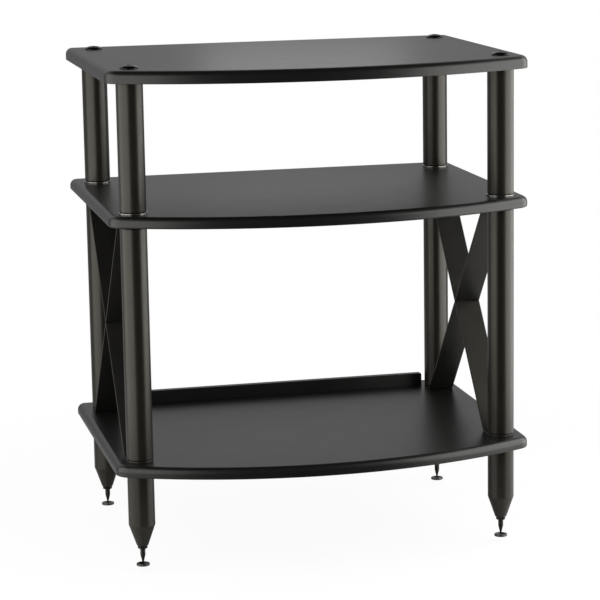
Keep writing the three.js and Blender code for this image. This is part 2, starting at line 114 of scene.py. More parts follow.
BOLT_POINT_BEVEL = 0.8
SOCKET_BEVEL = 0.25
SOCKET_DRILL_POINT = 0.3
DOME_STEPS = 20
SCREW_SOCKET_ACROSS_FLATS = 2.5
SCREW_SOCKET_DEPTH = 1.4
SCREW_HEAD_RADIUS = 4.2
SCREW_HEAD_HEIGHT = 2.4
SCREW_SHANK_RADIUS = 2
SCREW_POINT_LENGTH = 5
SCREW_EDGE = 0.2

# Brace strips
STRIP_HALF_WIDTH = 20
STRIP_THICKNESS = 3
STRIP_EDGE_RADIUS = 0.5
TAB_REACH = 26
BEND_RADIUS = 3.5
SLOT_HALF_LENGTH = 2.1
SLOT_CLEARANCE = 0.15

# Rail
RAIL_CORNER_RADIUS = 2.5
RAIL_EDGE_RADIUS = 0.8


def node_box(name):
    """Lowest and highest corner of a CAD node, in millimetres."""
    return [np.array(corner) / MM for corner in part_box(name)]


def axis_of(name):
    """Plan position of the axis of an upright round CAD node."""
    low, high = node_box(name)
    return (low[0] + high[0]) / 2, (low[1] + high[1]) / 2


def arc(centre, radius, start, end, steps):
    """Points of a circular arc: the centre plus the radius times the cosine and sine of evenly spaced angles."""
    angle = np.linspace(start, end, steps + 1)
    return np.stack([centre[0] + radius * np.cos(angle), centre[1] + radius * np.sin(angle)], 1)


def quads(rows, columns, wrap_rows=False):
    """Corner numbers of the faces of a grid of rows and columns whose last column meets its first."""
    row, column = np.meshgrid(np.arange(rows if wrap_rows else rows - 1), np.arange(columns), indexing="ij")
    next_row, next_column = (row + 1) % rows, (column + 1) % columns
    corners = [(row, column), (row, next_column), (next_row, next_column), (next_row, column)]
    return np.stack([r * columns + c for r, c in corners], -1).reshape(-1, 4)


def join(*surfaces):
    """Several surfaces, each of points and faces, as one."""
    points, faces, first = [], [], 0
    for surface_points, surface_faces in surfaces:
        points.append(surface_points)
        faces += [[first + int(corner) for corner in face] for face in surface_faces]
        first += len(surface_points)
    return np.concatenate(points), faces


def swept(radius, height, wrap_rows=False):
    """Surface of points at the column's angle round Z, where radius and height are arrays of row by column."""
    radius, height = np.broadcast_arrays(radius, height)
    rows, columns = radius.shape
    angle = np.arange(columns) * TAU / columns
    points = np.stack([radius * np.cos(angle), radius * np.sin(angle), height], -1)
    return points.reshape(-1, 3), quads(rows, columns, wrap_rows)


def turned(profile, columns=COLUMNS, closed=False):
    """Surface of revolution: each (radius, height) of the profile goes round Z, with the solid on its left."""
    profile = np.array(profile, float)
    return swept(np.repeat(profile[:, :1], columns, 1), profile[:, 1:], closed)


def rounded(profile, radii):
    """Profile with each corner replaced by an arc of its own radius that touches both of the corner's sides."""
    profile = np.array(profile, float)
    points = []
    for i, (corner, radius) in enumerate(zip(profile, radii)):
        if not radius:
            points.append(corner)
            continue
        before, after = profile[i - 1] - corner, profile[(i + 1) % len(profile)] - corner
        before, after = before / np.linalg.norm(before), after / np.linalg.norm(after)
        half = math.acos(np.clip(before @ after, -1, 1)) / 2
        middle = (before + after) / np.linalg.norm(before + after)
        centre = corner + middle * radius / math.sin(half)
        start = corner + before * radius / math.tan(half) - centre
        end = corner + after * radius / math.tan(half) - centre
        spread = math.pi - 2 * half
        for share in np.linspace(0, 1, FILLET_STEPS + 1):
            mixed = start * math.sin((1 - share) * spread) + end * math.sin(share * spread)
            points.append(centre + mixed / math.sin(spread))
    return points


def flat_face(loops, creases=()):
    """Triangles that fill the area inside the first loop, anticlockwise, and outside the others, clockwise, as
    numbers of the loops' points. Creases are pairs of points that an edge has to join. Seen from a triangle's
    centre, the steps round all loops add up to a whole turn, or to none if the triangle is inside a hole."""
    points = np.concatenate(loops)
    edges, first = list(creases), 0
    for loop in loops:
        edges += [(first + i, first + (i + 1) % len(loop)) for i in range(len(loop))]
        first += len(loop)
    made = delaunay_2d_cdt([Vector(p) for p in points], edges, [], 2, 1e-7, True)
    faces = np.array([[made[3][corner][0] for corner in face] for face in made[2]])
    centre = points[faces].mean(axis=1)[:, None]
    turn = np.zeros(len(faces))
    for loop in loops:
        here, there = loop - centre, np.roll(loop, -1, 0) - centre
        sine = here[..., 0] * there[..., 1] - here[..., 1] * there[..., 0]
        turn += np.arctan2(sine, (here * there).sum(axis=-1)).sum(axis=-1)
    return faces[turn > TAU / 2]


def slab(outer, holes=()):
    """Closed board from stacks of loops at rising heights: an outer stack, anticlockwise, and one for each hole,
    clockwise. Walls join the loops of a stack, and flat faces fill the lowest loops and the highest ones."""
    parts, lowest, highest, first = [], [], [], 0
    for stack in [outer, *holes]:
        rows, columns = len(stack), len(stack[0][0])
        points = np.array([np.column_stack([loop, np.full(columns, height)]) for loop, height in stack])
        parts.append((points.reshape(-1, 3), quads(rows, columns)))
        lowest += range(first, first + columns)
        highest += range(first + (rows - 1) * columns, first + rows * columns)
        first += rows * columns
    points, faces = join(*parts)
    for end, numbers, way in ((0, lowest, -1), (-1, highest, 1)):
        triangles = flat_face([stack[end][0] for stack in [outer, *holes]])
        faces += [[numbers[corner] for corner in face][::way] for face in triangles]
    return points, faces


def helix(radius, pitch, depth, low, high):
    """Threaded rod, open at both ends. A point stands at the angle of its column and rises by one pitch in a turn,
    and its row gives its place in the thread's profile of root, flank, crest and flank. Heights stop at the two
    ends, where the radius comes down at 45 degrees to just under the root."""
    place = np.array([0, 0.15, 0.5, 0.65])
    shape = np.array([0, 0, 1, 1])
    turns = math.ceil((high - low) / pitch) + 2 * SPARE_TURNS
    rise = (np.arange(turns)[:, None] + place).ravel() - SPARE_TURNS
    column = np.arange(THREAD_COLUMNS) / THREAD_COLUMNS
    height = np.clip(low + pitch * (rise[:, None] + column), low, high)
    ridge = radius - depth * (1 - np.tile(shape, turns)[:, None])
    end_radius = radius - depth - THREAD_END_SINK
    reach = end_radius + np.minimum(height - low, high - height)
    points = swept(np.minimum(ridge, reach), height)[0]

    rows, columns, turn = len(rise), THREAD_COLUMNS, len(place)
    row, column = np.meshgrid(np.arange(rows - 1), np.arange(columns), indexing="ij")
    ahead = row + np.where(column == columns - 1, turn, 0)
    there = ahead + 1 < rows
    row, column, ahead = row[there], column[there], ahead[there]
    after = (column + 1) % columns
    corners = [(row, column), (ahead, after), (ahead + 1, after), (row + 1, column)]
    return points, np.stack([r * columns + c for r, c in corners], -1), end_radius


def hexagon_radius(across_flats, columns=COLUMNS):
    """Distance from the axis to a hexagon's side at each column's angle, with corners at every sixth of a turn."""
    angle = np.arange(columns) * TAU / columns
    return across_flats / 2 / np.cos(angle % (TAU / 6) - TAU / 12)


# Colours and materials

# Middle of a noise texture's range, which is where nearly all of its values are
NOISE_LOW = 0.35
NOISE_HIGH = 0.65


def linear(hex_colour, strength=1):
    """sRGB hex to linear red, green, blue and 1."""
    values = [int(hex_colour[i:i + 2], 16) / 255 for i in (1, 3, 5)]
    return [strength * (v / 12.92 if v <= 0.04045 else ((v + 0.055) / 1.055) ** 2.4) for v in values] + [1]


def add_node(tree, kind, inputs=(), output=0, **settings):
    """Node of a kind with its settings. An input is given a value, or another node's output to link. What comes
    back is one of its own outputs."""
    node = tree.nodes.new(kind)
    for key, value in settings.items():
        setattr(node, key, value)
    for key, value in dict(inputs).items():
        if isinstance(value, bpy.types.NodeSocket):
            tree.links.new(value, node.inputs[key])
        else:
            node.inputs[key].default_value = value
    return node.outputs[output] if node.outputs else None


def new_material(name):
    """Empty material with its tree and its object coordinates."""
    material = bpy.data.materials.new(name)
    material.use_nodes = True
    tree = material.node_tree
    tree.nodes.clear()
    return material, tree, add_node(tree, "ShaderNodeTexCoord", output="Object")


def satin_lacquer():
    """Black lacquer sprayed on fibreboard: a satin sheen that blurs what it reflects, faint clouds of thicker and
    thinner coat about 90 mm across, and an orange peel of 2 mm lumps."""
    material, tree, place = new_material("satin_black_lacquer")
    cloud = add_node(tree, "ShaderNodeTexNoise", {"Vector": place, "Scale": 1 / (90 * MM)})
    sheen = add_node(tree, "ShaderNodeTexNoise", {"Vector": place, "Scale": 1 / (35 * MM)})
    peel = add_node(tree, "ShaderNodeTexNoise", {"Vector": place, "Scale": 1 / (2.2 * MM)})
    inputs = {0: cloud, 6: linear("#0b0b0b"), 7: linear("#0d0d0d")}
    colour = add_node(tree, "ShaderNodeMix", inputs, 2, data_type="RGBA")
    inputs = {"Value": sheen, "From Min": NOISE_LOW, "From Max": NOISE_HIGH, "To Min": 0.33, "To Max": 0.345}
    roughness = add_node(tree, "ShaderNodeMapRange", inputs)
    ripple = add_node(tree, "ShaderNodeBump", {"Height": peel, "Distance": 0.006 * MM, "Strength": 1.0})
    inputs = {"Base Color": colour, "Roughness": roughness, "IOR": 1.5, "Normal": ripple}
    surface = add_node(tree, "ShaderNodeBsdfPrincipled", inputs)
    add_node(tree, "ShaderNodeOutputMaterial", {"Surface": surface})
    return material


def powder_coat(name, dark, light, roughness, peel_rise):
    """Powder coat baked on steel: an even skin with the soft ripple of orange peel in 2.5 mm lumps, and colour
    that drifts between two near blacks over 60 mm."""
    material, tree, place = new_material(name)
    cloud = add_node(tree, "ShaderNodeTexNoise", {"Vector": place, "Scale": 1 / (60 * MM)})
    sheen = add_node(tree, "ShaderNodeTexNoise", {"Vector": place, "Scale": 1 / (25 * MM)})
    peel = add_node(tree, "ShaderNodeTexNoise", {"Vector": place, "Scale": 1 / (2.5 * MM)})
    colour = add_node(tree, "ShaderNodeMix", {0: cloud, 6: linear(dark), 7: linear(light)}, 2, data_type="RGBA")
    inputs = {
        "Value": sheen, "From Min": NOISE_LOW, "From Max": NOISE_HIGH, "To Min": roughness - 0.02,
        "To Max": roughness + 0.02,
    }
    uneven = add_node(tree, "ShaderNodeMapRange", inputs)
    ripple = add_node(tree, "ShaderNodeBump", {"Height": peel, "Distance": peel_rise * MM, "Strength": 1.0})
    inputs = {
        "Base Color": colour, "Roughness": uneven, "IOR": 1.5, "Specular Tint": linear("#fffbf0"), "Normal": ripple,
    }
    surface = add_node(tree, "ShaderNodeBsdfPrincipled", inputs)
    add_node(tree, "ShaderNodeOutputMaterial", {"Surface": surface})
    return material


def turned_metal(name, dark, light, smooth, rough, ring_pitch, ring_rise):
    """Turned steel: rings a pitch apart on its end faces, as a lathe tool leaves them, which go as the sine of the
    distance from the column's axis, and a colour and sheen that vary over a few millimetres. The columns stand in
    mirrored pairs, so folding X about the middle of the rack and Y about the middle of the columns brings all
    four axes to one."""
    material, tree, place = new_material(name)
    front_x, front_y = np.array(axis_of("front_left_upper_pillar")) * MM
    back_y = axis_of("back_left_upper_pillar")[1] * MM
    middle = (0, (front_y + back_y) / 2, 0)
    axis = (-front_x, (back_y - front_y) / 2, 0)
    centred = add_node(tree, "ShaderNodeVectorMath", {0: place, 1: middle}, operation="SUBTRACT")
    folded = add_node(tree, "ShaderNodeVectorMath", {0: centred}, operation="ABSOLUTE")
    local = add_node(tree, "ShaderNodeVectorMath", {0: folded, 1: axis}, operation="SUBTRACT")
    level = add_node(tree, "ShaderNodeVectorMath", {0: local, 1: (1, 1, 0)}, operation="MULTIPLY")
    distance = add_node(tree, "ShaderNodeVectorMath", {0: level}, "Value", operation="LENGTH")
    phase = add_node(tree, "ShaderNodeMath", {0: distance, 1: TAU / (ring_pitch * MM)}, operation="MULTIPLY")
    rings = add_node(tree, "ShaderNodeMath", {0: phase}, operation="SINE")
    ripple = add_node(tree, "ShaderNodeBump", {"Height": rings, "Distance": ring_rise * MM, "Strength": 1.0})
    cloud = add_node(tree, "ShaderNodeTexNoise", {"Vector": place, "Scale": 1 / (6 * MM)})
    sheen = add_node(tree, "ShaderNodeTexNoise", {"Vector": place, "Scale": 1 / (3 * MM)})
    colour = add_node(tree, "ShaderNodeMix", {0: cloud, 6: linear(dark), 7: linear(light)}, 2, data_type="RGBA")
    inputs = {"Value": sheen, "From Min": NOISE_LOW, "From Max": NOISE_HIGH, "To Min": smooth, "To Max": rough}
    uneven = add_node(tree, "ShaderNodeMapRange", inputs)
    inputs = {"Base Color": colour, "Metallic": 1.0, "Roughness": uneven, "Normal": ripple}
    surface = add_node(tree, "ShaderNodeBsdfPrincipled", inputs)
    add_node(tree, "ShaderNodeOutputMaterial", {"Surface": surface})
    return material


def gloss_enamel():
    """Gloss black enamel on the bolt heads: a deep black with a thin, weak mirror over it, so that only the lamps
    and the pale wall seen at a glance show in it, and a faint wave where the coat has flowed."""
    material, tree, place = new_material("gloss_black_enamel")
    cloud = add_node(tree, "ShaderNodeTexNoise", {"Vector": place, "Scale": 1 / (4 * MM)})
    sheen = add_node(tree, "ShaderNodeTexNoise", {"Vector": place, "Scale": 1 / (3 * MM)})
    wave = add_node(tree, "ShaderNodeTexNoise", {"Vector": place, "Scale": 1 / (1.8 * MM)})
    inputs = {0: cloud, 6: linear("#040404"), 7: linear("#070707")}
    colour = add_node(tree, "ShaderNodeMix", inputs, 2, data_type="RGBA")
    inputs = {"Value": sheen, "From Min": NOISE_LOW, "From Max": NOISE_HIGH, "To Min": 0.1, "To Max": 0.14}
    roughness = add_node(tree, "ShaderNodeMapRange", inputs)
    ripple = add_node(tree, "ShaderNodeBump", {"Height": wave, "Distance": 0.003 * MM, "Strength": 1.0})
    inputs = {
        "Base Color": colour, "Roughness": roughness, "IOR": 1.45, "Specular IOR Level": 0.25, "Normal": ripple,
    }
    surface = add_node(tree, "ShaderNodeBsdfPrincipled", inputs)
    add_node(tree, "ShaderNodeOutputMaterial", {"Surface": surface})
    return material


LACQUER = satin_lacquer()
# Semi-gloss coat of the tubes and feet, a warm black
TUBE_COAT = powder_coat("semi_gloss_powder_coat", "#12110e", "#171612", 0.32, 0.006)
# Flatter coat of the brace strips
STRIP_COAT = powder_coat("satin_powder_coat", "#0a0a0a", "#0f0f0e", 0.42, 0.008)
ENAMEL = gloss_enamel()
# Nickel-plated washers: grey, with soft reflections
NICKEL = turned_metal("nickel_plated_steel", "#9c9c9a", "#a6a6a4", 0.18, 0.26, 0.5, 0.002)
# Black oxide on turned steel: dark, with a dull metallic sheen
BLACK_OXIDE = turned_metal("black_oxide_steel", "#2c2c2b", "#383836", 0.3, 0.4, 0.6, 0.004)
# Smoked nickel on the floor discs: a dark grey face over a rim that mirrors the dark front of the room
SMOKED_NICKEL = turned_metal("smoked_nickel_steel", "#565655", "#60605f", 0.3, 0.38, 0.8, 0.003)
# Zinc plate: pale grey, a little cloudy
ZINC = turned_metal("zinc_plated_steel", "#96968f", "#aaaaa2", 0.3, 0.42, 0.6, 0.003)


# Pieces


def add_piece(name, surface, node, body, material, bevel=0):
    """Object of one closed surface, given in millimetres, that stands for a CAD node and rides on its body."""
    points, faces = join(surface)
    mesh = bpy.data.meshes.new(name)
    mesh.from_pydata(points * MM, [], faces)
    built = bmesh.new()
    built.from_mesh(mesh)
    bmesh.ops.remove_doubles(built, verts=built.verts, dist=WELD_DISTANCE)
    built.to_mesh(mesh)
    built.free()
    mesh.shade_smooth()
    mesh.set_sharp_from_angle(angle=math.radians(CREASE_ANGLE))
    mesh.materials.append(material)
    piece = bpy.data.objects.new(name, mesh)
    bpy.context.scene.collection.objects.link(piece)
    if bevel:
        edge = piece.modifiers.new("rounded edges", "BEVEL")
        edge.width, edge.segments = bevel * MM, BEVEL_SEGMENTS
        edge.limit_method, edge.angle_limit = "ANGLE", math.radians(BEVEL_ANGLE)
        edge.use_clamp_overlap = False
    weighted = piece.modifiers.new("even flats", "WEIGHTED_NORMAL")
    weighted.keep_sharp = True
    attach(piece, body)
    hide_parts(node)
    return piece


def moved(surface, place):
    """A surface carried to a place."""
    return surface[0] + np.array(place), surface[1]


def circle_hole(x, y, profile):
    """Stack of clockwise circles round (x, y), one for each (radius, height) of a hole's profile."""
    return [(arc((x, y), radius, 0, -TAU, HOLE_COLUMNS)[:-1], height) for radius, height in profile]


def shelf_outline(low, high, inset):
    """Plan of a shelf drawn in by an inset. Straight back and sides, an arc across the front that runs from side
    to side and stands FRONT_BOW proud in the middle, and round corners. Each arc keeps its centre."""
    half_width = (high[0] - low[0]) / 2
    bow_radius = (half_width ** 2 + FRONT_BOW ** 2) / (2 * FRONT_BOW)
    bow_centre = (0, low[1] + bow_radius)
    back_x = half_width - BACK_CORNER_RADIUS
    back_y = high[1] - BACK_CORNER_RADIUS
    front_x = half_width - FRONT_CORNER_RADIUS
    front_y = bow_centre[1] - math.sqrt((bow_radius - FRONT_CORNER_RADIUS) ** 2 - front_x ** 2)
    slant = math.atan2(bow_centre[1] - front_y, front_x)
    back_radius, front_radius = BACK_CORNER_RADIUS - inset, FRONT_CORNER_RADIUS - inset
    return np.concatenate([
        arc((back_x, back_y), back_radius, 0, TAU / 4, CORNER_STEPS),
        arc((-back_x, back_y), back_radius, TAU / 4, TAU / 2, CORNER_STEPS),
        arc((-front_x, front_y), front_radius, TAU / 2, TAU / 2 + slant, CORNER_STEPS),
        arc(bow_centre, bow_radius - inset, TAU / 2 + slant, TAU - slant, BOW_STEPS)[1:-1],
        arc((front_x, front_y), front_radius, TAU - slant, TAU, CORNER_STEPS),
    ])


def edge_rise(radius, steps, thickness, upper):
    """Insets and heights of a quarter round along a board's edge, from below to above."""
    angle = np.linspace(0, TAU / 4, steps + 1) if upper else np.linspace(TAU / 4, 0, steps + 1)
    inset = radius * (1 - np.cos(angle))
    height = radius * (1 - np.sin(angle))
    return list(zip(inset, thickness - height if upper else height))


def add_shelf(name):
    """Board with a large round along its upper edge and a small one along its lower edge, and holes for the
    studs of the columns."""
    low, high = node_box(name)
    thickness = high[2] - low[2]
    edge = edge_rise(LOWER_EDGE_RADII[name], FILLET_STEPS, thickness, False)
    edge += edge_rise(TOP_EDGE_RADIUS, TOP_EDGE_STEPS, thickness, True)
    outer = [(shelf_outline(low, high, inset), low[2] + height) for inset, height in edge]
    holes = [
        circle_hole(*axis, [(STUD_HOLE_RADIUS, low[2]), (STUD_HOLE_RADIUS, high[2])]) for axis in AXES.values()
    ]
    if name == "bottom_shelf":
        sink = low[2] + SCREW_SINK_DEPTH
        profile = [(SCREW_SINK_RADIUS, low[2]), (SCREW_HOLE_RADIUS, sink), (SCREW_HOLE_RADIUS, high[2])]
        for place in SCREWS:
            holes.append(circle_hole(*axis_of(f"rail_screw_{place}"), profile))
    add_piece(f"{name}_board", slab(outer, holes), name, "rack", LACQUER)


CORNERS = ("front_left", "front_right", "back_left", "back_right")
AXES = {corner: axis_of(f"{corner}_lower_pillar") for corner in CORNERS}


def tube(radius, length):
    """Tube with a bored plate welded into each end and its outer edges rounded over."""
    bore, inside = STUD_HOLE_RADIUS, radius - TUBE_WALL
    plate = TUBE_END_PLATE
    profile = [
        (bore, 0), (radius, 0), (radius, length), (bore, length), (bore, length - plate),
        (inside, length - plate), (inside, plate), (bore, plate),
    ]
    radii = [EDGE_BREAK, TUBE_END_RADIUS, TUBE_END_RADIUS, EDGE_BREAK, 0, 0, 0, 0]
    return turned(rounded(profile, radii), closed=True)


def foot(radius, height):
    """Cylinder over a cone, with the stud's bore above and the spike's bore below, each with a drilled point."""
    stud_floor = height - FOOT_STUD_BORE
    profile = [
        (0, FOOT_SPIKE_BORE), (SPIKE_BORE_RADIUS, FOOT_SPIKE_BORE - DRILL_POINT), (SPIKE_BORE_RADIUS, 0),
        (FOOT_BASE_RADIUS, 0), (radius, FOOT_CONE_HEIGHT), (radius, height), (STUD_HOLE_RADIUS, height),
        (STUD_HOLE_RADIUS, stud_floor + DRILL_POINT), (0, stud_floor),
    ]
    radii = [0, 0, EDGE_BREAK, FOOT_BASE_ROUND, FOOT_SHOULDER_ROUND, TUBE_END_RADIUS, EDGE_BREAK, 0, 0]
    return turned(rounded(profile, radii))


def threaded_rod(radius, length):
    """Threaded rod with flat ends."""
    points, faces, end = helix(radius, STUD_PITCH, STUD_THREAD_DEPTH, 0, length)
    lower = turned([(0, 0), (end, 0)], THREAD_COLUMNS)
    upper = turned([(end, length), (0, length)], THREAD_COLUMNS)
    return join(lower, (points, faces), upper)


def spike(radius, length):
    """Cone with a tiny round tip, a narrow neck, and a threaded shank to the flat upper end."""
    base = SPIKE_CONE_LENGTH
    points, faces, end = helix(radius, SPIKE_PITCH, SPIKE_THREAD_DEPTH, base + SPIKE_NECK, length)
    slope = math.atan2(radius, base)
    centre = SPIKE_TIP_RADIUS / math.sin(slope)
    angle = np.linspace(-TAU / 4, -slope, SPHERE_STEPS)
    tip = [(SPIKE_TIP_RADIUS * math.cos(a), centre + SPIKE_TIP_RADIUS * math.sin(a)) for a in angle]
    drop = tip[0][1]
    cone = [(r, h - drop * (1 - h / base)) for r, h in tip]
    cone += [(radius, base - EDGE_BREAK), (radius, base), (end, base + SPIKE_NECK)]
    upper = turned([(end, length), (0, length)], THREAD_COLUMNS)
    return join(turned(cone, THREAD_COLUMNS), (points, faces), upper)


def lock_nut(height):
    """Hexagon nut: the sides' distance from the axis follows the hexagon, and a 30 degree cone cuts its corners."""
    side = hexagon_radius(NUT_ACROSS_FLATS)
    bearing = NUT_ACROSS_FLATS / 2
    cut = (side - bearing) * math.tan(math.radians(NUT_CHAMFER_ANGLE))
    bore, bevel = SPIKE_BORE_RADIUS, NUT_BORE_BEVEL
    flat = np.ones(COLUMNS)
    rows = [
        (bore * flat, bevel * flat), ((bore + bevel) * flat, 0 * flat), (bearing * flat, 0 * flat), (side, cut),
        (side, height - cut), (bearing * flat, height * flat), ((bore + bevel) * flat, height * flat),
        (bore * flat, (height - bevel) * flat),
    ]
    return swept(np.array([r for r, _ in rows]), np.array([h for _, h in rows]), wrap_rows=True)


def floor_disc(radius, height):
    """Disc with rounded edges and a dished hollow for the spike's point."""
    profile = [
        (0, 0), (radius, 0), (radius, height), (DISC_RIM_INNER_RADIUS, height),
        (DISC_RECESS_RADIUS, DISC_RECESS_FLOOR + DISC_RECESS_RISE), (0, DISC_RECESS_FLOOR),
    ]
    return turned(rounded(profile, [0, 0.4, 0.6, 0.4, 1, 0]))


def washer(radius, height):
    """Flat ring with rounded edges."""
    bore = STUD_HOLE_RADIUS
    profile = [(bore, 0), (radius, 0), (radius, height), (bore, height)]
    return turned(rounded(profile, [EDGE_BREAK, WASHER_ROUND, WASHER_ROUND, EDGE_BREAK]), closed=True)


def socket_rows(across_flats, rim_height, floor_height):
    """Rows of a hexagon socket from the drilled point in its floor out to its upper edge, with a small bevel."""
    side = hexagon_radius(across_flats)
    flat = np.ones(COLUMNS)
    radius = [0 * flat, side, side, side + SOCKET_BEVEL]
    height = [
        (floor_height - SOCKET_DRILL_POINT) * flat, floor_height * flat, rim_height - SOCKET_BEVEL, rim_height,
    ]
    return radius, height


def dome_bolt(radius, low, height):
    """Bolt with a low dome, a half ellipse in section, over a short upright rim, and a hexagon socket. The head's
    underside is at height 0 and the shank goes down to low."""
    rise = height - BOLT_RIM
    edge = hexagon_radius(BOLT_SOCKET_ACROSS_FLATS) + SOCKET_BEVEL
    start = np.arccos(edge / radius)
    angle = start * np.linspace(1, 0, DOME_STEPS + 1)[:, None]
    dome_radius, dome_height = radius * np.cos(angle), BOLT_RIM + rise * np.sin(angle)
    socket_radius, socket_height = socket_rows(BOLT_SOCKET_ACROSS_FLATS, dome_height[0], BOLT_SOCKET_FLOOR)
    head_radius = list(dome_radius[1:]) + [np.full(COLUMNS, radius - BOLT_UNDERCUT)]
    head_height = list(dome_height[1:]) + [np.zeros(COLUMNS)]
    shank = [
        (BOLT_SHANK_RADIUS, 0), (BOLT_SHANK_RADIUS, low + BOLT_POINT_BEVEL),
        (BOLT_SHANK_RADIUS - BOLT_POINT_BEVEL, low), (0, low),
    ]
    radii = socket_radius + head_radius + [np.full(COLUMNS, float(r)) for r, _ in shank]
    heights = socket_height + head_height + [np.full(COLUMNS, float(h)) for _, h in shank]
    return swept(np.array(radii)[::-1], np.array(heights)[::-1])


def wood_screw(length):
    """Countersunk screw, point up, with a hexagon socket in its head's face at height 0."""
    side = hexagon_radius(SCREW_SOCKET_ACROSS_FLATS)
    flat = np.ones(COLUMNS)
    profile = [
        (SCREW_HEAD_RADIUS - SCREW_EDGE, 0), (SCREW_HEAD_RADIUS, SCREW_EDGE), (SCREW_SHANK_RADIUS, SCREW_HEAD_HEIGHT),
        (SCREW_SHANK_RADIUS, length - SCREW_POINT_LENGTH), (SCREW_EDGE, length - SCREW_EDGE), (0, length),
    ]
    rows = [(0 * flat, SCREW_SOCKET_DEPTH * flat), (side, SCREW_SOCKET_DEPTH * flat), (side, 0 * flat)]
    rows += [(r * flat, h * flat) for r, h in profile]
    return swept(np.array([r for r, _ in rows]), np.array([h for _, h in rows]))


def add_columns():
    """Ten pieces at each corner, from the floor disc to the bolt on top."""
    kinds = {
        "floor_disc": ("disc", SMOKED_NICKEL, "black_steel", lambda r, low, high: floor_disc(r, high - low)),
        "spike": ("levelling_spike", BLACK_OXIDE, "black_steel", lambda r, low, high: spike(r, high - low)),
        "lock_nut": ("nut", BLACK_OXIDE, "black_steel", lambda r, low, high: lock_nut(high - low)),
        "foot": (None, TUBE_COAT, "black_tube", lambda r, low, high: foot(r, high - low)),
        "bottom_stud": (None, ZINC, "zinc_steel", lambda r, low, high: threaded_rod(r, high - low)),
        "lower_pillar": (None, TUBE_COAT, "black_tube", lambda r, low, high: tube(r, high - low)),
        "middle_stud": (None, ZINC, "zinc_steel", lambda r, low, high: threaded_rod(r, high - low)),
        "washer": (None, NICKEL, "polished_steel", lambda r, low, high: washer(r, high - low)),
        "upper_pillar": (None, TUBE_COAT, "black_tube", lambda r, low, high: tube(r, high - low)),
    }
    top_face = node_box("top_shelf")[1][2]
    for corner, axis in AXES.items():
        for kind, (body, material, slot, shape) in kinds.items():
            name = f"{corner}_{kind}"
            low, high = node_box(name)
            surface = moved(shape((high[0] - low[0]) / 2, low[2], high[2]), (*axis, low[2]))
            add_piece(f"{name}_shape", surface, name, f"{corner}_{body}" if body else "rack", material)
        name = f"{corner}_top_bolt"
        low, high = node_box(name)
        surface = dome_bolt((high[0] - low[0]) / 2, low[2] - top_face, high[2] - top_face)
        add_piece(f"{name}_shape", moved(surface, (*axis, top_face)), name, "rack", ENAMEL)


def strip(low_y, high_y, low_z, high_z, slot_side):
    """Flat bar with round ends, two bolt holes and a slot to half its width, folded at both ends. Its flat
    pattern is in (along, across), and each point goes to the folded middle line at its distance along, plus or
    minus half the thickness along the line's normal."""
    ahead = math.copysign(1, high_y - low_y)
    corners = np.array([(low_y, low_z), (low_y + ahead * TAB_REACH, low_z),
                        (high_y - ahead * TAB_REACH, high_z), (high_y, high_z)])
    rise = math.atan2(high_z - low_z, abs(corners[2][0] - corners[1][0]))
    setback = BEND_RADIUS * math.tan(rise / 2)
    tab = TAB_REACH - setback
    diagonal = np.linalg.norm(corners[2] - corners[1]) - 2 * setback
    bend = BEND_RADIUS * rise
    marks = np.linspace(0, 1, FOLD_STEPS + 1)
    folds = np.concatenate([tab + bend * marks, tab + bend + diagonal + bend * marks])
    length = 2 * (tab + bend) + diagonal

    # Middle line at its stations, each step of a bend turning by the same angle
    stations = np.concatenate([[-2 * STRIP_HALF_WIDTH], folds, [length + 2 * STRIP_HALF_WIDTH]])
    heading = np.concatenate([[0], rise * marks, rise * marks[::-1], [0]])
    step = np.diff(stations)
    turn = np.diff(heading)
    chord = np.where(turn == 0, step, 2 * BEND_RADIUS * np.sin(np.abs(turn) / 2))
    middle = (heading[:-1] + heading[1:]) / 2
    line_y = low_y + ahead * (np.concatenate([[0], np.cumsum(chord * np.cos(middle))]) - 2 * STRIP_HALF_WIDTH)
    line_z = low_z + np.concatenate([[0], np.cumsum(chord * np.sin(middle))])

    # Flat pattern
    half = STRIP_HALF_WIDTH
    crossing = length / 2
    plain = [(s, half) for s in folds]
    notch = [(crossing - SLOT_HALF_LENGTH, half), (crossing - SLOT_HALF_LENGTH, -SLOT_CLEARANCE),
             (crossing + SLOT_HALF_LENGTH, -SLOT_CLEARANCE), (crossing + SLOT_HALF_LENGTH, half)]
    slotted = plain[:FOLD_STEPS + 1] + notch + plain[FOLD_STEPS + 1:]
    near = [(s, -t) for s, t in (slotted if slot_side < 0 else plain)]
    far = (slotted if slot_side > 0 else plain)[::-1]
    ends = [arc((0, 0), half, TAU / 4, 3 * TAU / 4, 2 * CORNER_STEPS),
            arc((length, 0), half, -TAU / 4, TAU / 4, 2 * CORNER_STEPS)]
    outline = np.concatenate([ends[0], near, ends[1], far])
    holes = [arc((s, 0), STUD_HOLE_RADIUS, 0, -TAU, HOLE_COLUMNS)[:-1] for s in (0, length)]
    points = np.concatenate([outline, *holes])
    creases = [np.flatnonzero((points[:, 0] == fold) & (np.abs(points[:, 1]) == half)).tolist() for fold in folds]
    faces = flat_face([outline, *holes], creases)

    # Two sides and the wall round every boundary
    along, across = points.T
    y, z = np.interp(along, stations, line_y), np.interp(along, stations, line_z)
    angle = np.interp(along, stations, heading)
    sides = []
    for offset in (STRIP_THICKNESS / 2, -STRIP_THICKNESS / 2):
        sides.append(np.stack([across, y - ahead * offset * np.sin(angle), z + offset * np.cos(angle)], 1))
    count = len(points)
    around = np.concatenate([faces[:, [0, 1]], faces[:, [1, 2]], faces[:, [2, 0]]])
    known = {(a, b) for a, b in around.tolist()}
    walls = [[a, a + count, b + count, b] for a, b in around.tolist() if (b, a) not in known]
    faces = faces.tolist() + (faces[:, ::-1] + count).tolist() + walls
    if ahead > 0:
        faces = [face[::-1] for face in faces]
    return np.concatenate(sides), faces


